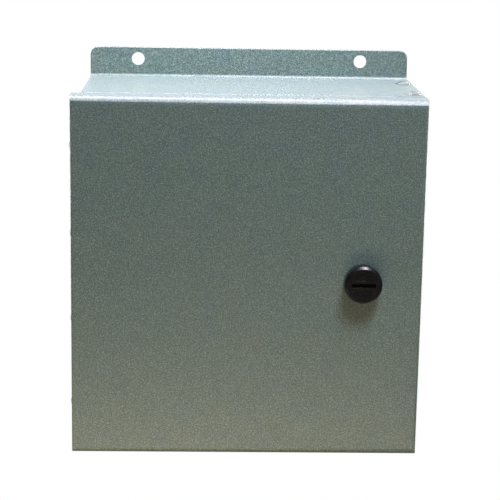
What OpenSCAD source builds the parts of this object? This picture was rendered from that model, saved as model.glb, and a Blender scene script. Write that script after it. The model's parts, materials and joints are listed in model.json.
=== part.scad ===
// Small wall cabinet of folded sheet steel with a hinged door and a coin-slot latch.
// Origin at the centre of the back, on the wall: +X right, +Y into the wall, +Z up. Millimetres.

/* [Cabinet] */
// Width of the door, which covers the body and the hinge beside it
cabinet_w = 203.2; // [180:0.1:280]
// Height over the top and bottom panels, and of the door
cabinet_h = 211.5; // [180:0.5:280]
// Depth from the wall to the face of the door
cabinet_d = 101.6; // [90:0.1:150]
// Thickness of the sheet steel
sheet = 1.2; // [1:0.1:1.5]
// Inside radius of the folds of the body and the caps
fold_r = 2; // [1.5:0.1:2.5]

/* [Wall flanges] */
// Height of a wall flange beyond its panel
flange_h = 18; // [15:0.5:25]
// Distance from the right side of the cabinet to the end of a flange
flange_inset = 1; // [0.5:0.1:8]
// Radius of a flange's free corners
flange_corner_r = 5; // [3:0.5:7]
// Diameter of the wall screw holes
wall_hole_d = 8; // [5:0.5:8]
// Distance between the two holes of one flange
wall_hole_pitch = 138; // [100:1:150]
// Distance from a flange's free edge to its hole centres
wall_hole_edge = 7.2; // [6:0.1:8]

/* [Door] */
// Depth of the door's folded returns
door_depth = 16; // [14:0.5:20]
// Gap between the door's returns and the rim of the body
door_seam = 1; // [0.6:0.1:2]
// Inside radius of the folds at the door's top and bottom
door_fold_r = 3.8; // [3:0.1:4.5]
// Inside radius of the folds at the door's sides
door_side_r = 0.8; // [0.6:0.1:1.4]

/* [Hinge] */
// Outside diameter of the knuckles
knuckle_d = 4.8; // [4.4:0.1:5.2]
// Diameter of the hinge pin
hinge_pin_d = 2.4; // [2:0.1:2.6]
// Thickness of a leaf
leaf_t = 1; // [0.8:0.1:1.2]
// Width of a leaf from the pin to its free edge
leaf_w = 13; // [12:0.5:14]
// Number of knuckles on both leaves together
knuckle_count = 15; // [9:2:21]

/* [Latch] */
// Distance from the right side of the door to the latch axis
latch_inset = 34.9; // [32:0.1:45]
// Diameter of the knob
knob_d = 22; // [20:0.5:26]
// Height of the knob's head
knob_h = 7; // [6:0.5:12]
// Width of the knob's bevelled edge
knob_edge = 1.4; // [0.8:0.1:2.4]
// Length of the coin slot
coin_slot_l = 14; // [10:0.5:15]
// Width of the coin slot
coin_slot_w = 2.4; // [1.4:0.1:3]

/* [Rivets] */
// Shank diameter of the panel rivets
rivet_d = 4.8; // [4:0.1:5]
// Head diameter of the panel rivets
rivet_head_d = 9; // [8:0.1:9.6]
// Distance from the right side of the cabinet to the panel rivets
rivet_inset = 6.2; // [6:0.1:8]

/* [Mounting plate] */
// Distance from the door's outline to the edge of the plate
plate_margin = 18; // [16:1:30]
// Thickness of the plate
plate_t = 1.5; // [1.2:0.1:2]
// Height of the collars that carry the plate
plate_standoff = 6; // [4:0.5:10]

/* [Hidden] */
$fn = 64;

// Colours
paint = [0.45, 0.51, 0.48];
zinc = [0.72, 0.73, 0.74];
bare_alloy = [0.80, 0.81, 0.82];
black_plastic = [0.06, 0.06, 0.065];

// Cabinet: outside radius of a fold, half sizes and the rim that the door closes against
fold_out = fold_r + sheet;
half_w = cabinet_w / 2;
half_h = cabinet_h / 2;
sheet_fit = 0.2;
cut = 1;
rim_y = cabinet_d - door_depth - door_seam;
inner_h = cabinet_h - 2 * sheet;

// Left side of the body: it stands in from the door's left side, and the hinge's barrel lies beside it
knuckle_r = knuckle_d / 2;
barrel_clear = 0.2;
body_left = -half_w + knuckle_d + 2 * barrel_clear;

// Wall flanges, from the body's left side to a little short of its right side
flange_right = half_w - flange_inset;
flange_w = flange_right - body_left;
flange_x = (body_left + flange_right) / 2;
wall_hole_z = half_h + flange_h - wall_hole_edge;

// Hinge: the barrel lies behind the door's left return, one leaf inside that return and one on the body
knuckle_clear = 0.6;
hinge_x = body_left - barrel_clear - knuckle_r;
hinge_y = cabinet_d - door_depth - knuckle_clear - knuckle_r;
pin_fit = 0.05;
knuckle_gap = 0.4;
hinge_end_gap = 0.4;
hinge_l = cabinet_h - 2 * hinge_end_gap;
knuckle_pitch = hinge_l / knuckle_count;
leaf_end_gap = 4;
leaf_l = cabinet_h - 2 * leaf_end_gap;
leaf_root = knuckle_r + knuckle_gap;
hinge_rivet_d = 3.2;
hinge_rivet_head_d = 6;
hinge_rivet_head_h = 1;
hinge_rivet_out = (leaf_root + leaf_w) / 2;
hinge_rivet_count = 4;
hinge_rivet_pitch = leaf_l / hinge_rivet_count;
hinge_rivet_zs = [for (i = [0 : hinge_rivet_count - 1]) hinge_rivet_pitch * (i + 0.5) - leaf_l / 2];
hinge_grip = sheet + leaf_t;

// Front lips: the strike lip on the right wall, and the lips of the two caps from it to the left wall
strike_w = 14;
cap_lip_h = 12;
cap_lip_gap = 1;
cap_lip_left = body_left + sheet + cap_lip_gap;
cap_lip_right = half_w - strike_w - cap_lip_gap;

// Tabs of the side walls under the caps, and the places of the rivets, which hold the right ones
tab_w = 14;
tab_relief = 0.6;
tab_from_rim = 5.6;
tab_front = rim_y - tab_from_rim;
tab_back = 8;
rivet_from_tab_end = 5.4;
rivet_front_y = tab_front - rivet_from_tab_end;
rivet_back_y = 25.6;
rivet_x = half_w - rivet_inset;
rivet_places = [for (y = [rivet_front_y, rivet_back_y]) [rivet_x, -y]];
rivet_head_h = 1.7;
rivet_rim = 0.4;

// Set blind rivets, in shank diameters: the stem left inside, and the swollen end with the stem's bulb
stem_share = 0.55;
swell_d_share = 1.45;
swell_h_share = 0.9;
bulb_d_share = 0.95;
bulb_h_share = 0.3;
// Top of the broken stem, as a share of the head's height
stem_top_share = 0.55;

// Latch: the stack runs from the knob's face to the cam behind the strike lip
latch_x = half_w - latch_inset;
knob_r = knob_d / 2;
knob_fit = 0.3;
bushing_flange_d = 20;
bushing_flange_t = 1.2;
bushing_d = 14;
bushing_fit = 0.1;
stem_d = 9.4;
stem_fit = 0.05;
cam_t = 2;
cam_gap = 1.2;
cam_front_y = rim_y - sheet - cam_gap;
cam_overlap = 5;
cam_w = 12;
cam_hub_r = 8;
cam_reach = latch_inset - strike_w + cam_overlap;
square_w = 6;
square_fit = 0.05;
cam_screw_d = 4;
cam_screw_l = 12;
cam_screw_head_d = 8;
cam_screw_head_h = 2.6;
cam_washer_t = 0.9;
latch_washer_d = 21;
latch_washer_t = 1;
latch_nut_w = 19;
latch_nut_t = 5;

// Mounting plate, its studs and the earth terminal
plate_w = cabinet_w - 2 * plate_margin;
plate_h = cabinet_h - 2 * plate_margin;
plate_corner_r = 4;
plate_stud_in = 10;
plate_y = sheet + plate_standoff;
stud_d = 5;
stud_hole_fit = 0.3;
stud_l = 9;
collar_d = 10;
nut_w = 8;
nut_t = 4;
washer_d = 10;
washer_t = 1;
plate_stud_places = [for (sx = [-1, 1], sz = [-1, 1])
    [sx * (plate_w / 2 - plate_stud_in), sz * (plate_h / 2 - plate_stud_in)]];
ground_y = 46;
ground_up = 28;
ground_z = -half_h + ground_up;
ground_stud_l = 12;

// Extrusions of a plane shape: along X of a (y, z) shape, along Z of an (x, y) shape
module along_x(length) rotate([90, 0, 90]) linear_extrude(length, center = true) children();
module along_z(length) linear_extrude(length, center = true) children();

// Plate of an (x, z) shape whose back face lies at depth y from the wall
module plate_at(y, thickness) translate([0, -y, 0]) rotate([90, 0, 0]) linear_extrude(thickness) children();

// Axis pointing out of the door's face, starting at depth y from the wall
module facing_out(y) translate([0, -y, 0]) rotate([90, 0, 0]) children();

// Quarter ring of a folded sheet in the plane, filling the first quadrant before it turns
module fold(centre, turn) {
    translate(centre) rotate(turn) intersection() {
        difference() {
            circle(fold_out);
            circle(fold_r);
        }
        square(fold_out + cut);
    }
}

// Plane block of width w and depth d whose two front corners are rounded
module round_front(w, d, r) {
    translate([-w / 2, r]) square([w, d - r]);
    translate([-w / 2 + r, 0]) square([w - 2 * r, r]);
    for (side = [-1, 1]) translate([side * (w / 2 - r), r]) circle(r);
}

// Plane rectangle with four round corners
module round_rect(w, h, r) {
    square([w, h - 2 * r], center = true);
    square([w - 2 * r, h], center = true);
    for (sx = [-1, 1], sy = [-1, 1]) translate([sx * (w / 2 - r), sy * (h / 2 - r)]) circle(r);
}

// Plain flat ring standing on z = 0
module ring(outer_d, inner_d, height) {
    difference() {
        cylinder(h = height, d = outer_d);
        translate([0, 0, -cut]) cylinder(h = height + 2 * cut, d = inner_d);
    }
}

// Hexagon nut standing on z = 0, with its corners turned off at the outer face
module hex_nut(across_flats, inner_d, height) {
    corner_d = across_flats / cos(30);
    difference() {
        intersection() {
            cylinder(h = height, d = corner_d, $fn = 6);
            cylinder(h = height, d1 = corner_d + 2 * height, d2 = across_flats);
        }
        translate([0, 0, -cut]) cylinder(h = height + 2 * cut, d = inner_d);
    }
}

// Domed disc of a rivet or screw head, standing on z = 0
module dome(d, height) {
    ball_r = (d * d / 4 + height * height) / (2 * height);
    intersection() {
        cylinder(h = height, d = d);
        translate([0, 0, height - ball_r]) sphere(ball_r, $fn = 96);
    }
}

// Set blind rivet: head on z = 0, shank through the grip, swollen end behind it
function mandrel_d(d) = stem_share * d;
function swell_h(d) = swell_h_share * d;
module blind_rivet(d, head_d, head_h, grip) {
    swell_d = swell_d_share * d;
    difference() {
        union() {
            cylinder(h = rivet_rim, d = head_d);
            translate([0, 0, rivet_rim]) dome(head_d, head_h - rivet_rim);
            translate([0, 0, -grip]) cylinder(h = grip, d = d);
            translate([0, 0, -grip - swell_h(d) / 2]) cylinder(h = swell_h(d) / 2, d = swell_d);
            translate([0, 0, -grip - swell_h(d)]) cylinder(h = swell_h(d) / 2, d1 = d, d2 = swell_d);
        }
        translate([0, 0, -grip - swell_h(d) - cut]) {
            cylinder(h = grip + swell_h(d) + head_h + 2 * cut, d = mandrel_d(d));
        }
    }
}

// Stem that stays in a set blind rivet, broken off below the top of the head
module rivet_mandrel(d, head_h, grip) {
    bulb_d = bulb_d_share * d;
    bulb_h = bulb_h_share * d;
    stem_top = stem_top_share * head_h;
    translate([0, 0, -grip - swell_h(d)]) cylinder(h = grip + swell_h(d) + stem_top, d = mandrel_d(d));
    translate([0, 0, -grip - swell_h(d) - bulb_h]) cylinder(h = bulb_h, d1 = mandrel_d(d), d2 = bulb_d);
}

// Places children at the two rivets of the top panel, heads up
module at_cap_rivets() for (p = rivet_places) translate([p[0], p[1], half_h]) children();

// Places children at the hinge rivets, heads left: way +1 on the body's leaf, -1 on the door's return
module at_hinge_rivets(way) {
    head_x = way > 0 ? body_left - leaf_t : -half_w;
    for (z = hinge_rivet_zs) {
        translate([head_x, -hinge_y + way * hinge_rivet_out, z]) rotate([0, -90, 0]) children();
    }
}

// Places cutters for the holes of the hinge rivets
module hinge_rivet_holes(way) {
    at_hinge_rivets(way) cylinder(h = 2 * hinge_grip + cut, d = hinge_rivet_d, center = true);
}

// Body: left wall, back and right wall with its strike lip, as one folded sheet seen from above
module wrap_plan() {
    translate([body_left + fold_out, -sheet]) square([half_w - body_left - 2 * fold_out, sheet]);
    fold([half_w - fold_out, -fold_out], 0);
    fold([body_left + fold_out, -fold_out], 90);
    translate([body_left, -rim_y]) square([sheet, rim_y - fold_out]);
    translate([half_w - sheet, -rim_y + fold_out]) square([sheet, rim_y - 2 * fold_out]);
    fold([half_w - fold_out, -rim_y + fold_out], -90);
    translate([half_w - strike_w, -rim_y]) square([strike_w - fold_out, sheet]);
}

// Tab folded inward at the top of the right wall, in the (x, z) plane
module tab_section() {
    fold([half_w - fold_out, half_h - sheet - fold_out], 0);
    translate([half_w - tab_w, half_h - 2 * sheet]) square([tab_w - fold_out, sheet]);
}

module at_each_tab() {
    for (mx = [0, 1], mz = [0, 1]) {
        translate([mx * (half_w + body_left), 0, 0]) mirror([mx, 0, 0]) mirror([0, 0, mz]) children();
    }
}

module body_wrap() {
    color(paint) difference() {
        union() {
            difference() {
                along_z(inner_h - 2 * sheet_fit) wrap_plan();
                at_each_tab() {
                    translate([half_w - sheet - cut, -tab_front - tab_relief, half_h - sheet - fold_out]) {
                        cube([sheet + 2 * cut, tab_front - tab_back + 2 * tab_relief, fold_out + cut]);
                    }
                }
            }
            at_each_tab() plate_at(tab_back, tab_front - tab_back) tab_section();
        }
        at_cap_rivets() cylinder(h = 4 * sheet, d = rivet_d, center = true);
        mirror([0, 0, 1]) at_cap_rivets() cylinder(h = 4 * sheet, d = rivet_d, center = true);
        hinge_rivet_holes(1);
    }
}

// Outline of a wall flange about its middle: a strip whose free corners are round
module flange_outline() {
    straight_h = flange_h - fold_r;
    round_x = flange_w / 2 - flange_corner_r;
    translate([-flange_w / 2, half_h + fold_r]) square([flange_w, straight_h - flange_corner_r]);
    translate([-round_x, half_h + fold_r]) square([2 * round_x, straight_h]);
    for (side = [-1, 1]) {
        translate([side * round_x, half_h + flange_h - flange_corner_r]) circle(flange_corner_r);
    }
}

// End cap: panel, wall flange folded up at the back and lip folded down at the front
module cap_flange() {
    translate([flange_x, 0, 0]) {
        plate_at(0, sheet) difference() {
            flange_outline();
            for (side = [-1, 1]) translate([side * wall_hole_pitch / 2, wall_hole_z]) circle(d = wall_hole_d);
        }
        along_x(flange_w) fold([-fold_out, half_h + fold_r], -90);
    }
}

module cap_lip() {
    translate([(cap_lip_left + cap_lip_right) / 2, 0, 0]) along_x(cap_lip_right - cap_lip_left) {
        fold([-rim_y + fold_out, half_h - fold_out], 90);
        translate([-rim_y, half_h - cap_lip_h]) square([sheet, cap_lip_h - fold_out]);
    }
}

module cap_panel() {
    panel_front = rim_y - fold_out;
    translate([0, 0, half_h - sheet]) linear_extrude(sheet) {
        translate([body_left, -panel_front]) square([half_w - body_left, panel_front - fold_out]);
        translate([body_left, -rim_y]) square([cap_lip_left - body_left, fold_out]);
        translate([cap_lip_right, -rim_y]) square([half_w - cap_lip_right, fold_out]);
    }
}

module end_cap() {
    color(paint) difference() {
        union() {
            cap_panel();
            cap_lip();
            cap_flange();
        }
        at_cap_rivets() cylinder(h = 4 * sheet, d = rivet_d, center = true);
    }
}

module top_cap() end_cap();
module bottom_cap() mirror([0, 0, 1]) end_cap();

module panel_rivets() at_cap_rivets() blind_rivet(rivet_d, rivet_head_d, rivet_head_h, 2 * sheet);
module top_rivets() color(bare_alloy) panel_rivets();
module bottom_rivets() color(bare_alloy) mirror([0, 0, 1]) panel_rivets();
module cap_mandrels() {
    color(zinc) for (mz = [0, 1]) {
        mirror([0, 0, mz]) at_cap_rivets() rivet_mandrel(rivet_d, rivet_head_h, 2 * sheet);
    }
}

// Door: a pan with four returns, its folds meeting in mitred round corners
module door_block(inset, depth) {
    side_r = door_side_r + sheet - inset;
    end_r = door_fold_r + sheet - inset;
    translate([0, -cabinet_d + inset, 0]) intersection() {
        along_z(cabinet_h - 2 * inset) round_front(cabinet_w - 2 * inset, depth, side_r);
        along_x(cabinet_w - 2 * inset) rotate(-90) round_front(cabinet_h - 2 * inset, depth, end_r);
    }
}

module door() {
    color(paint) difference() {
        door_block(0, door_depth);
        door_block(sheet, door_depth + cut);
        translate([latch_x, 0, 0]) facing_out(cabinet_d - 2 * sheet) {
            cylinder(h = 4 * sheet, d = bushing_d + 2 * bushing_fit);
        }
        hinge_rivet_holes(-1);
    }
}

// Hinge leaf: way +1 lies on the body and has the even knuckles, -1 lies on the door and has the odd ones
module hinge_leaf(way) {
    first = way > 0 ? 0 : 1;
    knuckle_l = knuckle_pitch - knuckle_gap;
    strip_x = (way > 0 ? body_left - leaf_t : sheet - half_w) - hinge_x;
    strip_y = way > 0 ? leaf_root : -leaf_w;
    translate([hinge_x, -hinge_y, 0]) difference() {
        union() {
            translate([strip_x, strip_y, -leaf_l / 2]) cube([leaf_t, leaf_w - leaf_root, leaf_l]);
            for (i = [first : 2 : knuckle_count - 1]) {
                translate([0, 0, -hinge_l / 2 + knuckle_gap / 2 + i * knuckle_pitch]) {
                    cylinder(h = knuckle_l, r = knuckle_r);
                    translate([strip_x, way > 0 ? 0 : -leaf_root, 0]) cube([leaf_t, leaf_root, knuckle_l]);
                }
            }
        }
        cylinder(h = hinge_l + 2 * cut, d = hinge_pin_d + 2 * pin_fit, center = true);
        for (z = hinge_rivet_zs) {
            translate([strip_x + leaf_t / 2, way * hinge_rivet_out, z]) rotate([0, 90, 0]) {
                cylinder(h = 2 * leaf_t, d = hinge_rivet_d, center = true);
            }
        }
    }
}

module hinge_body_leaf() color(zinc) hinge_leaf(1);
module hinge_door_leaf() color(zinc) hinge_leaf(-1);
module hinge_pin() {
    color(zinc) translate([hinge_x, -hinge_y, 0]) cylinder(h = hinge_l, d = hinge_pin_d, center = true);
}

module hinge_rivets(way) {
    at_hinge_rivets(way) blind_rivet(hinge_rivet_d, hinge_rivet_head_d, hinge_rivet_head_h, hinge_grip);
}
module hinge_mandrels(way) {
    at_hinge_rivets(way) rivet_mandrel(hinge_rivet_d, hinge_rivet_head_h, hinge_grip);
}
module hinge_body_rivets() color(bare_alloy) hinge_rivets(1);
module hinge_door_rivets() color(bare_alloy) hinge_rivets(-1);
module hinge_body_mandrels() color(zinc) hinge_mandrels(1);
module hinge_door_mandrels() color(zinc) hinge_mandrels(-1);

// Latch, fixed part: flanged bushing through the door, clamped by a washer and nut behind it
module at_latch(y) translate([latch_x, 0, 0]) facing_out(y) children();

module latch_bushing() {
    behind = cabinet_d - cam_front_y - knob_fit;
    color(black_plastic) at_latch(cabinet_d) difference() {
        union() {
            cylinder(h = bushing_flange_t, d = bushing_flange_d);
            translate([0, 0, -behind]) cylinder(h = behind, d = bushing_d);
        }
        translate([0, 0, -behind - cut]) {
            cylinder(h = behind + bushing_flange_t + 2 * cut, d = stem_d + 2 * stem_fit);
        }
    }
}

module latch_washer() {
    color(zinc) at_latch(cabinet_d - sheet - latch_washer_t) {
        ring(latch_washer_d, bushing_d + 2 * bushing_fit, latch_washer_t);
    }
}

module latch_nut() {
    color(zinc) at_latch(cabinet_d - sheet - latch_washer_t) {
        mirror([0, 0, 1]) hex_nut(latch_nut_w, bushing_d + 2 * bushing_fit, latch_nut_t);
    }
}

// Knob: round head with a coin slot and two shallow moulded pockets, on a stem with a square end
module knob_head() {
    cylinder(h = knob_h - knob_edge, r = knob_r);
    translate([0, 0, knob_h - knob_edge]) cylinder(h = knob_edge, r1 = knob_r, r2 = knob_r - knob_edge);
}

module knob_pocket() {
    pocket_in = 2.6;
    pocket_out = knob_r - 4;
    pocket_w = 9;
    intersection() {
        difference() {
            circle(pocket_out);
            circle(pocket_in);
        }
        translate([-pocket_w / 2, pocket_in]) square([pocket_w, pocket_out]);
    }
}

module latch_knob() {
    head_y = cabinet_d + bushing_flange_t + knob_fit;
    stem_l = head_y - cam_front_y;
    square_l = cam_t - 2 * square_fit;
    coin_slot_deep = 3;
    pocket_deep = 0.6;
    color(black_plastic) at_latch(head_y) difference() {
        union() {
            knob_head();
            translate([0, 0, -stem_l]) cylinder(h = stem_l, d = stem_d);
            translate([-square_w / 2, -square_w / 2, -stem_l - square_l]) {
                cube([square_w, square_w, square_l + cut]);
            }
        }
        translate([-coin_slot_l / 2, -coin_slot_w / 2, knob_h - coin_slot_deep]) {
            cube([coin_slot_l, coin_slot_w, coin_slot_deep + cut]);
        }
        for (turn = [0, 180]) {
            translate([0, 0, knob_h - pocket_deep]) rotate(turn) {
                linear_extrude(pocket_deep + cut) knob_pocket();
            }
        }
        translate([0, 0, -stem_l - square_l - cut]) {
            cylinder(h = cam_screw_l + cut, d = cam_screw_d + 2 * stem_fit);
        }
    }
}

// Cam: pointing up when the door is free, and to the right behind the strike lip when it is latched
module latch_cam() {
    hole_w = square_w + 2 * square_fit;
    color(zinc) translate([latch_x, 0, 0]) plate_at(cam_front_y - cam_t, cam_t) difference() {
        union() {
            circle(cam_hub_r);
            translate([-cam_w / 2, 0]) square([cam_w, cam_reach - cam_w / 2]);
            translate([0, cam_reach - cam_w / 2]) circle(cam_w / 2);
        }
        square(hole_w, center = true);
    }
}

module cam_washer() {
    color(zinc) at_latch(cam_front_y - cam_t - cam_washer_t) {
        ring(cam_screw_head_d, cam_screw_d + 2 * bushing_fit, cam_washer_t);
    }
}

module cam_screw() {
    drive_w = 1;
    drive_deep = 1.2;
    color(zinc) at_latch(cam_front_y - cam_t - cam_washer_t) {
        translate([0, 0, -stem_fit]) cylinder(h = cam_screw_l, d = cam_screw_d);
        mirror([0, 0, 1]) difference() {
            dome(cam_screw_head_d, cam_screw_head_h);
            translate([-drive_w / 2, -cam_screw_head_d, cam_screw_head_h - drive_deep]) {
                cube([drive_w, 2 * cam_screw_head_d, drive_deep + cut]);
            }
        }
    }
}

// Mounting plate on four collar studs fixed to the back
module mounting_plate() {
    color(zinc) plate_at(plate_y, plate_t) difference() {
        round_rect(plate_w, plate_h, plate_corner_r);
        for (p = plate_stud_places) translate(p) circle(d = stud_d + 2 * stud_hole_fit);
    }
}

module at_plate_studs(y) for (p = plate_stud_places) translate([p[0], 0, p[1]]) facing_out(y) children();

module plate_studs() {
    color(zinc) at_plate_studs(sheet) {
        cylinder(h = plate_standoff, d = collar_d);
        cylinder(h = plate_standoff + stud_l, d = stud_d);
    }
}

module plate_washers() {
    color(zinc) at_plate_studs(plate_y + plate_t) ring(washer_d, stud_d + 2 * stud_hole_fit, washer_t);
}

module plate_nuts() {
    color(zinc) at_plate_studs(plate_y + plate_t + washer_t) hex_nut(nut_w, stud_d + 2 * pin_fit, nut_t);
}

// Earth terminal: a stud on the inside of the right wall, with its washer and nut
module at_ground(out) translate([half_w - sheet - out, -ground_y, ground_z]) rotate([0, -90, 0]) children();

module ground_stud() color(zinc) at_ground(0) cylinder(h = ground_stud_l, d = stud_d);
module ground_washer() color(zinc) at_ground(0) ring(washer_d, stud_d + 2 * stud_hole_fit, washer_t);
module ground_nut() color(zinc) at_ground(washer_t) hex_nut(nut_w, stud_d + 2 * pin_fit, nut_t);

body_wrap();
top_cap();
bottom_cap();
top_rivets();
bottom_rivets();
cap_mandrels();
door();
hinge_body_leaf();
hinge_door_leaf();
hinge_pin();
hinge_body_rivets();
hinge_door_rivets();
hinge_body_mandrels();
hinge_door_mandrels();
latch_bushing();
latch_washer();
latch_nut();
latch_knob();
latch_cam();
cam_washer();
cam_screw();
mounting_plate();
plate_studs();
plate_washers();
plate_nuts();
ground_stud();
ground_washer();
ground_nut();
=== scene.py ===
import json
import math

import bpy
from mathutils import Euler, Matrix, Vector

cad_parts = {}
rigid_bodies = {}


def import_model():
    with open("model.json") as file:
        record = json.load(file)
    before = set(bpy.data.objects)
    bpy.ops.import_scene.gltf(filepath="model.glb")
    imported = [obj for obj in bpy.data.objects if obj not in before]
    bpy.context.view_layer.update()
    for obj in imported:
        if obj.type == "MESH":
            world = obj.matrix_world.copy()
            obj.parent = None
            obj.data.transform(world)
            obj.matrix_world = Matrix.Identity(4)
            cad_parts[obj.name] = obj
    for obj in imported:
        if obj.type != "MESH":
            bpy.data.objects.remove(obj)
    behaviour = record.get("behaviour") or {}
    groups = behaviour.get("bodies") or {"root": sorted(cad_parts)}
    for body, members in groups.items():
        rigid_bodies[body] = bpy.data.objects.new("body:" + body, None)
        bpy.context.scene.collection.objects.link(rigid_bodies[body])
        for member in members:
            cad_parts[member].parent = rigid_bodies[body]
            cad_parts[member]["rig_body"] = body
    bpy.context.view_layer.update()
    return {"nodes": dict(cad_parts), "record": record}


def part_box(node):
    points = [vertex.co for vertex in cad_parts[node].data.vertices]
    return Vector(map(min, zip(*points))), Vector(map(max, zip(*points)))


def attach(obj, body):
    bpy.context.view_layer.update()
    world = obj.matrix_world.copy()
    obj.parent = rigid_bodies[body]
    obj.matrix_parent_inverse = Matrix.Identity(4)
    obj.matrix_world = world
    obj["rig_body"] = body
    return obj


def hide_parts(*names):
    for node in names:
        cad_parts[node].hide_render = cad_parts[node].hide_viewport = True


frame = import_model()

# Imported solids, the finish slot of each node and the wall holes, from model.json
nodes = frame["nodes"]
slot_of_node = {subpart["node"]: subpart["material_slot"] for subpart in frame["record"]["subparts"]}
wall_holes = next(mount for mount in frame["record"]["mounts"] if mount["name"] == "wall_holes")
MM = 0.001

# Camera, fitted to the edges of the door and the flange in the photograph
FOCAL_LENGTH = 114.405
SENSOR_WIDTH = 36
CAMERA_PLACE = Vector((-0.02733, -0.99060, 0.22236))
CAMERA_DOWN = math.radians(12.9115)
CAMERA_ASIDE = math.radians(-1.8481)
CAMERA_ROLL = math.radians(1.0175)

# Colours, as linear values. The paint's colour is multiplied by that of its flakes.
PAINT_BLUE = (0.101, 0.139, 0.135, 1)
PAINT_GREEN = (0.103, 0.143, 0.129, 1)
PAINT_WARM = (0.108, 0.142, 0.131, 1)
# Painted shade: the colour that darkens the paint inside its pits
PIT_SHADE = (0.060, 0.082, 0.074, 1)
FLAKE_DARK = (0.60, 0.60, 0.60, 1)
FLAKE_BRIGHT = (1.95, 1.95, 1.95, 1)
ZINC_BLUE = (0.59, 0.61, 0.64, 1)
ZINC_WARM = (0.65, 0.64, 0.61, 1)
RIVET_DULL = (0.50, 0.56, 0.58, 1)
RIVET_BRIGHT = (0.74, 0.82, 0.84, 1)
NYLON_DEEP = (0.0025, 0.0025, 0.003, 1)
NYLON_WORN = (0.006, 0.006, 0.0065, 1)
FLOOR_PALE = (0.20, 0.165, 0.12, 1)
WHITE = (1, 1, 1, 1)

# Scale of the grain's cells against that of its speckle, and their height against it
CELLS_PER_GRAIN = 0.6
CELL_RELIEF = 0.9
# Share of the painted pit shade in a pit's colour, and height of the orange peel against a pit's depth
PIT_SHADE_SHARE = 0.4
PEEL_RELIEF = 0.35
# How far a metal's roughness varies to either side
METAL_SPREAD = 0.07


# Shader building

def add_node(tree, kind, values=None, **settings):
    """Adds a node to a tree, with its settings and the values of its inputs by name or number."""
    made = tree.nodes.new(kind)
    for name, value in settings.items():
        setattr(made, name, value)
    for name, value in (values or {}).items():
        made.inputs[name].default_value = value
    return made


def start_group(name, inputs, outputs):
    """Starts a shader node group with named number inputs and outputs."""
    group = bpy.data.node_groups.new(name, "ShaderNodeTree")
    for label in inputs:
        group.interface.new_socket(label, in_out="INPUT", socket_type="NodeSocketFloat")
    for label in outputs:
        group.interface.new_socket(label, in_out="OUTPUT", socket_type="NodeSocketFloat")
    return group, group.nodes.new("NodeGroupInput"), group.nodes.new("NodeGroupOutput")


def put_group(tree, group, **values):
    """Places a node group in a material with its own values."""
    return add_node(tree, "ShaderNodeGroup", values, node_tree=group)


def start_material(name):
    """Starts a material that has a Principled shader on its output."""
    material = bpy.data.materials.new(name)
    material.use_nodes = True
    tree = material.node_tree
    return material, tree, tree.nodes["Principled BSDF"]


def colour_ramp(tree, stops):
    """Adds a colour ramp with the given (place, colour) stops."""
    ramp = add_node(tree, "ShaderNodeValToRGB")
    elements = ramp.color_ramp.elements
    while len(elements) < len(stops):
        elements.new(0.5)
    for element, (place, colour) in zip(elements, stops):
        element.position = place
        element.color = colour
    return ramp


def make_grain_group():
    """Grain of a sprayed or moulded surface: fine speckle, rounded relief and slow clouds."""
    outputs = ("Speckle", "Relief", "Clouds")
    group, given, result = start_group("surface_grain", ("Grain", "Cloud"), outputs)
    place = add_node(group, "ShaderNodeTexCoord")
    speckle = add_node(group, "ShaderNodeTexNoise", {"Detail": 2.5, "Roughness": 0.62})
    cells = add_node(group, "ShaderNodeTexVoronoi", {"Smoothness": 0.7}, feature="SMOOTH_F1")
    clouds = add_node(group, "ShaderNodeTexNoise", {"Detail": 2, "Roughness": 0.5})
    cell_scale = add_node(group, "ShaderNodeMath", {1: CELLS_PER_GRAIN}, operation="MULTIPLY")
    relief = add_node(group, "ShaderNodeMath", {1: CELL_RELIEF}, operation="MULTIPLY_ADD")
    link = group.links.new
    for texture in (speckle, cells, clouds):
        link(place.outputs["Object"], texture.inputs["Vector"])
    link(given.outputs["Grain"], speckle.inputs["Scale"])
    link(given.outputs["Grain"], cell_scale.inputs[0])
    link(cell_scale.outputs[0], cells.inputs["Scale"])
    link(given.outputs["Cloud"], clouds.inputs["Scale"])
    link(cells.outputs["Distance"], relief.inputs[0])
    link(speckle.outputs["Fac"], relief.inputs[2])
    link(speckle.outputs["Fac"], result.inputs["Speckle"])
    link(relief.outputs[0], result.inputs["Relief"])
    link(clouds.outputs["Fac"], result.inputs["Clouds"])
    return group


def make_pit_group():
    """Pits of a hammer finish: small round dents in clusters, deeper in some than in others."""
    group, given, result = start_group("hammer_pits", ("Pits", "Clusters"), ("Pits", "Clusters"))
    place = add_node(group, "ShaderNodeTexCoord")
    dents = add_node(group, "ShaderNodeTexVoronoi")
    rim = {"From Min": 0.08, "From Max": 0.42}
    bowl = add_node(group, "ShaderNodeMapRange", rim, interpolation_type="SMOOTHSTEP")
    patches = add_node(group, "ShaderNodeTexNoise", {"Detail": 1.5, "Roughness": 0.5})
    crowding = {"From Min": 0.38, "From Max": 0.62, "To Min": 0.25}
    crowd = add_node(group, "ShaderNodeMapRange", crowding)
    hollow = add_node(group, "ShaderNodeMath", {0: 1}, operation="SUBTRACT")
    depth = add_node(group, "ShaderNodeMath", operation="MULTIPLY")
    link = group.links.new
    link(place.outputs["Object"], dents.inputs["Vector"])
    link(place.outputs["Object"], patches.inputs["Vector"])
    link(given.outputs["Pits"], dents.inputs["Scale"])
    link(given.outputs["Clusters"], patches.inputs["Scale"])
    link(dents.outputs["Distance"], bowl.inputs["Value"])
    link(bowl.outputs["Result"], hollow.inputs[1])
    link(patches.outputs["Fac"], crowd.inputs["Value"])
    link(hollow.outputs[0], depth.inputs[0])
    link(crowd.outputs["Result"], depth.inputs[1])
    link(depth.outputs[0], result.inputs["Pits"])
    link(crowd.outputs["Result"], result.inputs["Clusters"])
    return group


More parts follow.
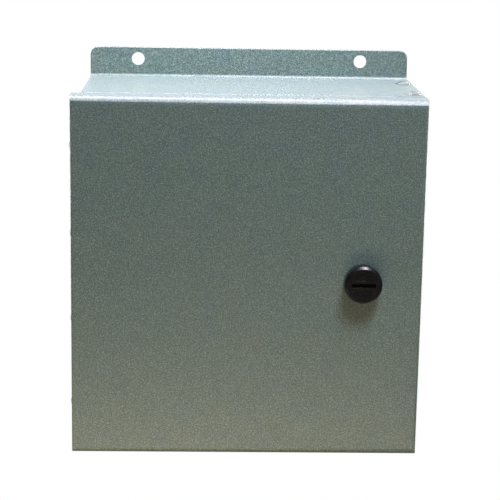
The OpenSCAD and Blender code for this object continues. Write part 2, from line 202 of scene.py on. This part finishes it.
def make_paint(grain, pits):
    """Hammer finish: clustered pits, darkened with painted shade, in a half-gloss coat whose grey
    drifts between cool and warm.
    """
    material, tree, shader = start_material("hammer_paint")
    link = tree.links.new
    shader.inputs["Coat Weight"].default_value = 0.25
    shader.inputs["Coat Roughness"].default_value = 0.3
    surface = put_group(tree, grain, Grain=1350, Cloud=70)
    dents = put_group(tree, pits, Pits=820, Clusters=160)
    drift = colour_ramp(tree, [(0.36, PAINT_BLUE), (0.52, PAINT_GREEN), (0.66, PAINT_WARM)])
    flakes = colour_ramp(tree, [(0.32, FLAKE_DARK), (0.50, WHITE), (0.70, FLAKE_BRIGHT)])
    coat = add_node(tree, "ShaderNodeMix", data_type="RGBA", blend_type="MULTIPLY")
    coat.inputs["Factor"].default_value = 1
    # The pits' colour is mixed towards the pit shade: painted shade in the dents
    pitted = add_node(tree, "ShaderNodeMix", data_type="RGBA")
    pitted.inputs["B"].default_value = PIT_SHADE
    pit_share = add_node(tree, "ShaderNodeMath", {1: PIT_SHADE_SHARE}, operation="MULTIPLY")
    gloss = add_node(tree, "ShaderNodeMapRange", {"To Min": 0.46, "To Max": 0.60})
    orange_peel = add_node(tree, "ShaderNodeMath", {1: PEEL_RELIEF}, operation="MULTIPLY")
    height = add_node(tree, "ShaderNodeMath", operation="SUBTRACT")
    skin = add_node(tree, "ShaderNodeBump", {"Strength": 0.45, "Distance": 0.14 * MM})
    link(surface.outputs["Clouds"], drift.inputs["Fac"])
    link(surface.outputs["Speckle"], flakes.inputs["Fac"])
    link(drift.outputs["Color"], coat.inputs["A"])
    link(flakes.outputs["Color"], coat.inputs["B"])
    link(dents.outputs["Pits"], pit_share.inputs[0])
    link(pit_share.outputs[0], pitted.inputs["Factor"])
    link(coat.outputs["Result"], pitted.inputs["A"])
    link(pitted.outputs["Result"], shader.inputs["Base Color"])
    link(dents.outputs["Clusters"], gloss.inputs["Value"])
    link(gloss.outputs["Result"], shader.inputs["Roughness"])
    link(surface.outputs["Relief"], orange_peel.inputs[0])
    link(orange_peel.outputs[0], height.inputs[0])
    link(dents.outputs["Pits"], height.inputs[1])
    link(height.outputs[0], skin.inputs["Height"])
    link(skin.outputs["Normal"], shader.inputs["Normal"])
    return material


def make_satin(name, grain, scales, tones, rough, relief):
    """Starts a finish whose tone drifts in clouds and whose gloss and relief follow a fine grain."""
    material, tree, shader = start_material(name)
    link = tree.links.new
    low, high = rough
    surface = put_group(tree, grain, **scales)
    tone = colour_ramp(tree, tones)
    gloss_range = {"From Min": 0.3, "From Max": 0.7, "To Min": low, "To Max": high}
    gloss = add_node(tree, "ShaderNodeMapRange", gloss_range)
    skin = add_node(tree, "ShaderNodeBump", relief)
    link(surface.outputs["Clouds"], tone.inputs["Fac"])
    link(tone.outputs["Color"], shader.inputs["Base Color"])
    link(surface.outputs["Speckle"], gloss.inputs["Value"])
    link(gloss.outputs["Result"], shader.inputs["Roughness"])
    link(surface.outputs["Relief"], skin.inputs["Height"])
    link(skin.outputs["Normal"], shader.inputs["Normal"])
    return material, shader


def make_metal(name, grain, dull, bright, grain_size, rough):
    """Bare or plated metal with slow tarnish clouds and a fine satin grain."""
    material, shader = make_satin(
        name,
        grain,
        scales={"Grain": grain_size, "Cloud": 90},
        tones=[(0.36, dull), (0.64, bright)],
        rough=(rough - METAL_SPREAD, rough + METAL_SPREAD),
        relief={"Strength": 0.12, "Distance": 0.05 * MM},
    )
    shader.inputs["Metallic"].default_value = 1
    return material


def make_nylon(grain):
    """Moulded black nylon with a faint spark-eroded grain."""
    material, shader = make_satin(
        "black_nylon",
        grain,
        scales={"Grain": 2600, "Cloud": 140},
        tones=[(0.35, NYLON_DEEP), (0.70, NYLON_WORN)],
        rough=(0.23, 0.33),
        relief={"Strength": 0.15, "Distance": 0.04 * MM},
    )
    shader.inputs["Specular IOR Level"].default_value = 0.6
    return material


grain_group = make_grain_group()
finish_of_slot = {
    "cabinet_paint": make_paint(grain_group, make_pit_group()),
    "zinc_steel": make_metal(
        "zinc_plate", grain_group, ZINC_BLUE, ZINC_WARM, grain_size=1800, rough=0.34),
    "rivet_alloy": make_metal(
        "rivet_alloy", grain_group, RIVET_DULL, RIVET_BRIGHT, grain_size=2400, rough=0.15),
    "black_plastic": make_nylon(grain_group),
}
for node_name, slot_name in slot_of_node.items():
    solid = nodes[node_name]
    solid.data.materials.clear()
    solid.data.materials.append(finish_of_slot[slot_name])


# Sizes of the caps and the knob, as in the part's source
FLANGE_H = 18 * MM
FOLD_R = 2 * MM
KNOB_R = 11 * MM
KNOB_H = 7 * MM
KNOB_EDGE = 1.4 * MM
STEM_R = 4.7 * MM
SQUARE_W = 6 * MM
SQUARE_L = 1.9 * MM
SLOT_L = 14 * MM
SLOT_W = 2.4 * MM
SLOT_DEEP = 3 * MM
POCKET_FROM = 2.6 * MM
POCKET_R = 7 * MM
POCKET_HALF_W = 4.5 * MM
POCKET_DEEP = 0.6 * MM

# Rounded edges, which only the pictures have. The caps' free edges are rounder than the other sheets'.
FLANGE_ROUND = 0.6 * MM
PAINT_ROUND = 0.3 * MM
SHOULDER_ROUND = 0.4 * MM
SLOT_ROUND = 0.18 * MM
SQUARE_ROUND = 0.15 * MM
# Degrees above which an edge is rounded and below which it is shaded smooth
SHEET_ANGLE = 50
KNOB_ANGLE = 40
# Sides of the knob's round forms
KNOB_SIDES = 128
POCKET_SIDES = 80
# Height that the slot's cutter has to spare, half above the knob and half below the slot's floor
SLOT_SPARE = 0.2 * MM

# Tolerance of a place, and the distances within which points of a solid or of the knob become one
NEAR = 0.05 * MM
SOLID_POINT = 0.002 * MM
KNOB_POINT = 0.08 * MM
# Part of a normal that lies along the axis that it faces, and degrees of turn that still count as flat
FACING = 0.99
FLAT_ANGLE = 0.5


# Modelling steps

def is_near(a, b):
    """Tells whether two lengths are the same within the tolerance."""
    return abs(a - b) < NEAR


def select_only(piece):
    """Makes a piece the one selected and active object."""
    bpy.ops.object.select_all(action="DESELECT")
    piece.select_set(True)
    bpy.context.view_layer.objects.active = piece


def open_edit():
    """Enters edit mode."""
    bpy.ops.object.mode_set(mode="EDIT")


def close_edit():
    """Leaves edit mode."""
    bpy.ops.object.mode_set(mode="OBJECT")


def open_whole(piece):
    """Opens a piece for editing with all of its mesh selected."""
    select_only(piece)
    open_edit()
    bpy.ops.mesh.select_all(action="SELECT")


def start_pick(piece, kind):
    """Makes a piece the active object, with nothing of its mesh selected."""
    select_only(piece)
    open_edit()
    bpy.ops.mesh.select_mode(type=kind)
    bpy.ops.mesh.select_all(action="DESELECT")
    close_edit()


def pick_faces(piece, test):
    """Opens a piece for editing with the faces selected whose centre and normal pass the test."""
    start_pick(piece, "FACE")
    for face in piece.data.polygons:
        face.select = test(face.center, face.normal)
    open_edit()


def pick_edges(piece, test):
    """Opens a piece for editing with the edges selected whose two ends both pass the test."""
    start_pick(piece, "EDGE")
    points = piece.data.vertices
    for edge in piece.data.edges:
        edge.select = all(test(points[i].co) for i in edge.vertices)
    open_edit()


def bevel_picked(width):
    """Rounds the edges that are selected and leaves edit mode."""
    bpy.ops.mesh.bevel(offset=width, segments=3, affect="EDGES")
    close_edit()


def apply_place(piece):
    """Moves the place, turn and scale of a piece into its mesh."""
    select_only(piece)
    bpy.ops.object.transform_apply(location=True, rotation=True, scale=True)


def added_piece(name):
    """Names the primitive that was just added and moves its place into its mesh."""
    piece = bpy.context.active_object
    piece.name = name
    piece.data.name = name
    apply_place(piece)
    return piece


def add_cylinder(name, sides, radius, height, middle):
    """Adds an upright cylinder whose middle is at a height on the Z axis."""
    bpy.ops.mesh.primitive_cylinder_add(
        vertices=sides, radius=radius, depth=height, location=(0, 0, middle))
    return added_piece(name)


def add_block(name, size, middle):
    """Adds a block whose middle is at a height on the Z axis."""
    bpy.ops.mesh.primitive_cube_add(size=1, location=(0, 0, middle), scale=size)
    return added_piece(name)


def cut_away(piece, cutter):
    """Cuts one piece by another, which is used up."""
    cut = piece.modifiers.new("cut", "BOOLEAN")
    cut.operation = "DIFFERENCE"
    cut.solver = "EXACT"
    cut.object = cutter
    select_only(piece)
    bpy.ops.object.modifier_apply(modifier=cut.name)
    bpy.data.objects.remove(cutter)


def merge_close(piece, distance):
    """Merges the points of a piece that lie closer together than a distance."""
    open_whole(piece)
    bpy.ops.mesh.remove_doubles(threshold=distance)
    close_edit()


def round_edges(piece, width, angle, segments=2):
    """Rounds every edge sharper than an angle."""
    bevel = piece.modifiers.new("rounding", "BEVEL")
    bevel.width = width
    bevel.segments = segments
    bevel.limit_method = "ANGLE"
    bevel.angle_limit = math.radians(angle)
    select_only(piece)
    bpy.ops.object.modifier_apply(modifier=bevel.name)


def smooth_shading(piece, angle):
    """Smooths the shading across edges flatter than an angle and keeps the panels even."""
    select_only(piece)
    bpy.ops.object.shade_smooth_by_angle(angle=math.radians(angle))
    even = piece.modifiers.new("flat_panels", "WEIGHTED_NORMAL")
    even.keep_sharp = True
    bpy.ops.object.modifier_apply(modifier=even.name)


def stand_in(piece, node):
    """Puts a modelled piece in the place of a node, on the same body and with the same finish."""
    slot = slot_of_node[node]
    piece.data.materials.clear()
    piece.data.materials.append(finish_of_slot[slot])
    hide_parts(node)
    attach(piece, nodes[node]["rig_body"])


# Coin knob

def make_knob_pocket(side):
    """Cutter for one of the two shallow moulded pockets above and below the slot."""
    cutter = add_cylinder("knob_pocket", POCKET_SIDES, POCKET_R, 2 * POCKET_DEEP, KNOB_H)
    planes = [
        ((0, side * POCKET_FROM, 0), (0, -side, 0)),
        ((POCKET_HALF_W, 0, 0), (1, 0, 0)),
        ((-POCKET_HALF_W, 0, 0), (-1, 0, 0)),
    ]
    for point, away in planes:
        open_whole(cutter)
        bpy.ops.mesh.bisect(plane_co=point, plane_no=away, use_fill=True, clear_outer=True)
        close_edit()
    return cutter


def make_knob_head(stem_l):
    """Head with a round shoulder, a coin slot and two pockets, on its stem."""
    head = add_cylinder("coin_knob", KNOB_SIDES, KNOB_R, KNOB_H, KNOB_H / 2)
    pick_edges(head, lambda place: is_near(place.z, KNOB_H))
    bpy.ops.mesh.bevel(offset=KNOB_EDGE, segments=1, affect="EDGES")
    bpy.ops.mesh.region_to_loop()
    bpy.ops.mesh.bevel(offset=SHOULDER_ROUND, segments=4, affect="EDGES")
    close_edit()
    pick_faces(head, lambda centre, normal: normal.z < -FACING)
    bpy.ops.mesh.inset(thickness=KNOB_R - STEM_R)
    bpy.ops.mesh.extrude_region_move(TRANSFORM_OT_translate={"value": (0, 0, -stem_l)})
    close_edit()
    for side in (1, -1):
        cut_away(head, make_knob_pocket(side))
    slot_size = (SLOT_L, SLOT_W, SLOT_DEEP + SLOT_SPARE)
    cut_away(head, add_block("coin_slot", slot_size, KNOB_H - SLOT_DEEP / 2))
    merge_close(head, KNOB_POINT)
    round_edges(head, SLOT_ROUND, KNOB_ANGLE, segments=3)
    smooth_shading(head, KNOB_ANGLE)
    return head


def make_knob():
    """Coin knob: a head on a stem with a square end, turned to face the front."""
    low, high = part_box("latch_knob")
    stem_l = high.y - low.y - KNOB_H - SQUARE_L
    knob = make_knob_head(stem_l)
    square = add_block("knob_square", (SQUARE_W, SQUARE_W, SQUARE_L), -stem_l - SQUARE_L / 2)
    round_edges(square, SQUARE_ROUND, KNOB_ANGLE)
    smooth_shading(square, KNOB_ANGLE)
    select_only(knob)
    square.select_set(True)
    bpy.ops.object.join()
    knob.rotation_euler = (math.pi / 2, 0, 0)
    knob.location = ((low.x + high.x) / 2, low.y + KNOB_H, (low.z + high.z) / 2)
    apply_place(knob)
    stand_in(knob, "latch_knob")


# Painted sheets

def at_wall_hole(place):
    """Tells whether a point lies at the rim of one of the four wall holes."""
    dims = wall_holes["dims"]
    reach_x = abs(place.x - wall_holes["pos_m"][0]) - dims["spacing_x_mm"] / 2 * MM
    reach_z = abs(place.z) - dims["spacing_y_mm"] / 2 * MM
    return math.hypot(reach_x, reach_z) < dims["hole_r_mm"] * MM + NEAR


def round_flange(piece):
    """Rounds the free edges of a cap's flange at the front, and the panel's sides.

    The bottom cap mirrors the top one, so heights are taken from the top cap and compared without sign.
    """
    low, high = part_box("top_cap")
    panel = high.z - FLANGE_H
    root = panel + FOLD_R
    pick_faces(piece, lambda centre, normal: normal.y < -FACING and abs(centre.z) > root)
    bpy.ops.mesh.region_to_loop()
    close_edit()
    points = piece.data.vertices
    for edge in piece.data.edges:
        ends = [points[i].co for i in edge.vertices]
        free = max(abs(end.z) for end in ends) > root + NEAR
        edge.select = edge.select and free and not at_wall_hole(ends[0])
    open_edit()
    bevel_picked(FLANGE_ROUND)
    for side_x in (low.x, high.x):
        pick_edges(piece, lambda place: is_near(place.x, side_x) and is_near(abs(place.z), panel))
        bevel_picked(FLANGE_ROUND)


def round_sheet(piece):
    """Rounds the sharp edges of a painted sheet."""
    round_edges(piece, PAINT_ROUND, SHEET_ANGLE)


def soften_solid(node, shape_edges):
    """Stands a copy of a solid in for its node, with its edges rounded as under a coat of paint."""
    piece = bpy.data.objects.new("soft_" + node, nodes[node].data.copy())
    bpy.context.scene.collection.objects.link(piece)
    merge_close(piece, SOLID_POINT)
    open_whole(piece)
    bpy.ops.mesh.dissolve_limited(angle_limit=math.radians(FLAT_ANGLE))
    close_edit()
    shape_edges(piece)
    smooth_shading(piece, SHEET_ANGLE)
    stand_in(piece, node)


make_knob()
for painted in ("door", "body_wrap"):
    soften_solid(painted, round_sheet)
for painted in ("top_cap", "bottom_cap"):
    soften_solid(painted, round_flange)


# Stage: pale floor, soft studio light and the camera

# The floor runs out to white between two distances, from a share of white under the object
FLOOR_Z = -0.25
FLOOR_SIZE = 16
FLOOR_NEAR = 0.05
FLOOR_FAR = 0.2
FLOOR_WHITE = 0.6
# Brightness of the room in reflections, and of the surroundings as a light
ROOM_DIM = 0.06
WORLD_FILL = 0.012
# Lamps for the sides and the back, so low and so far behind that the front and the top don't see them
SIDE_FILLS = {
    "left_fill": (-0.75, 0.42, -0.05),
    "right_fill": (0.75, 0.42, -0.05),
    "back_fill": (0.25, 0.85, -0.05),
}


def show_to_camera(tree):
    """Adds a mask of what is seen, directly or mirrored or through glass, and how white it is seen.

    The camera sees white. A reflection sees a dim room, which the second result's input A can change.
    """
    path = add_node(tree, "ShaderNodeLightPath")
    mirrored = add_node(tree, "ShaderNodeMath", operation="MAXIMUM")
    seen = add_node(tree, "ShaderNodeMath", operation="MAXIMUM")
    strength = add_node(tree, "ShaderNodeMix", {"A": ROOM_DIM, "B": 1}, data_type="FLOAT")
    link = tree.links.new
    link(path.outputs["Is Glossy Ray"], mirrored.inputs[0])
    link(path.outputs["Is Transmission Ray"], mirrored.inputs[1])
    link(path.outputs["Is Camera Ray"], seen.inputs[0])
    link(mirrored.outputs[0], seen.inputs[1])
    link(path.outputs["Is Camera Ray"], strength.inputs["Factor"])
    return seen, strength


def make_floor():
    """Pale floor that keeps the shadow near the object and runs out to white further away."""
    bpy.ops.object.select_all(action="DESELECT")
    bpy.ops.mesh.primitive_plane_add(size=FLOOR_SIZE, location=(0, 0, FLOOR_Z))
    floor = bpy.context.active_object
    floor.name = "studio_floor"
    material = bpy.data.materials.new("pale_floor")
    material.use_nodes = True
    tree = material.node_tree
    tree.nodes.clear()
    link = tree.links.new
    place = add_node(tree, "ShaderNodeTexCoord")
    distance = add_node(tree, "ShaderNodeVectorMath", operation="LENGTH")
    fade = {"From Min": FLOOR_NEAR, "From Max": FLOOR_FAR, "To Min": FLOOR_WHITE}
    away = add_node(tree, "ShaderNodeMapRange", fade, interpolation_type="SMOOTHSTEP")
    factor = add_node(tree, "ShaderNodeMath", operation="MULTIPLY")
    card = add_node(tree, "ShaderNodeBsdfDiffuse", {"Color": FLOOR_PALE})
    white = add_node(tree, "ShaderNodeEmission", {"Color": WHITE})
    mix = add_node(tree, "ShaderNodeMixShader")
    output = add_node(tree, "ShaderNodeOutputMaterial")
    seen, strength = show_to_camera(tree)
    link(place.outputs["Object"], distance.inputs[0])
    link(distance.outputs["Value"], away.inputs["Value"])
    link(away.outputs["Result"], factor.inputs[0])
    link(seen.outputs[0], factor.inputs[1])
    link(strength.outputs[0], white.inputs["Strength"])
    link(factor.outputs[0], mix.inputs["Fac"])
    link(card.outputs[0], mix.inputs[1])
    link(white.outputs[0], mix.inputs[2])
    link(mix.outputs[0], output.inputs["Surface"])
    floor.data.materials.append(material)


def make_world():
    """White surroundings for the camera, and a weak fill for the light itself.

    A reflection sees white behind the object and a dim room everywhere else.
    """
    world = bpy.data.worlds.new("studio")
    bpy.context.scene.world = world
    world.use_nodes = True
    tree = world.node_tree
    tree.nodes.clear()
    link = tree.links.new
    light = add_node(tree, "ShaderNodeBackground", {"Color": WHITE, "Strength": WORLD_FILL})
    shown = add_node(tree, "ShaderNodeBackground", {"Color": WHITE})
    mix = add_node(tree, "ShaderNodeMixShader")
    output = add_node(tree, "ShaderNodeOutputWorld")
    place = add_node(tree, "ShaderNodeTexCoord")
    axes = add_node(tree, "ShaderNodeSeparateXYZ")
    behind = {"From Min": 0.1, "From Max": 0.6, "To Min": ROOM_DIM}
    backdrop = add_node(tree, "ShaderNodeMapRange", behind)
    seen, strength = show_to_camera(tree)
    link(place.outputs["Generated"], axes.inputs[0])
    link(axes.outputs["Y"], backdrop.inputs["Value"])
    link(backdrop.outputs["Result"], strength.inputs["A"])
    link(strength.outputs[0], shown.inputs["Strength"])
    link(seen.outputs[0], mix.inputs["Fac"])
    link(light.outputs[0], mix.inputs[1])
    link(shown.outputs[0], mix.inputs[2])
    link(mix.outputs[0], output.inputs["Surface"])


def add_soft_light(name, place, target, size, watts, colour):
    """Adds a rectangular soft light that faces the target."""
    lamp = bpy.data.lights.new(name, "AREA")
    lamp.shape = "RECTANGLE"
    lamp.size, lamp.size_y = size
    lamp.energy = watts
    lamp.color = colour
    holder = bpy.data.objects.new(name, lamp)
    holder.location = place
    holder.rotation_euler = (Vector(target) - Vector(place)).to_track_quat("-Z", "Y").to_euler()
    bpy.context.scene.collection.objects.link(holder)


def add_lights():
    """Adds the lights of the top, the flange and the front, a warm reflector below, and the fills."""
    add_soft_light(
        "overhead_softbox",
        place=(0.03, -0.01, 0.75),
        target=(0, -0.05, 0),
        size=(0.65, 0.20),
        watts=11.8,
        colour=(1.0, 0.80, 1.0),
    )
    add_soft_light(
        "back_strip",
        place=(-0.06, -0.055, 0.225),
        target=(-0.06, -0.01, 0.11),
        size=(0.30, 0.04),
        watts=0.42,
        colour=(0.83, 0.95, 1.0),
    )
    add_soft_light(
        "front_key",
        place=(0.25, -0.66, 1.16),
        target=(0, -0.10, 0),
        size=(0.50, 0.28),
        watts=21.5,
        colour=(0.84, 0.94, 1.0),
    )
    add_soft_light(
        "low_reflector",
        place=(-0.06, -0.26, -0.20),
        target=(-0.02, -0.10, -0.10),
        size=(0.5, 0.12),
        watts=0.60,
        colour=(1.0, 0.80, 0.56),
    )
    for name, place in SIDE_FILLS.items():
        add_soft_light(
            name,
            place=place,
            target=(0, -0.05, -0.05),
            size=(0.4, 0.25),
            watts=5,
            colour=(1.0, 0.98, 0.95),
        )


def add_camera():
    """Adds the camera at the photograph's viewing angle."""
    data = bpy.data.cameras.new("photo_camera")
    data.sensor_width = SENSOR_WIDTH
    data.lens = FOCAL_LENGTH
    camera = bpy.data.objects.new("photo_camera", data)
    aim = Euler((math.pi / 2 - CAMERA_DOWN, 0, CAMERA_ASIDE)).to_matrix()
    roll = Matrix.Rotation(CAMERA_ROLL, 3, "Z")
    camera.matrix_world = Matrix.Translation(CAMERA_PLACE) @ (aim @ roll).to_4x4()
    bpy.context.scene.collection.objects.link(camera)
    bpy.context.scene.camera = camera


make_floor()
make_world()
add_lights()
add_camera()
bpy.context.scene.view_settings.view_transform = "Standard"
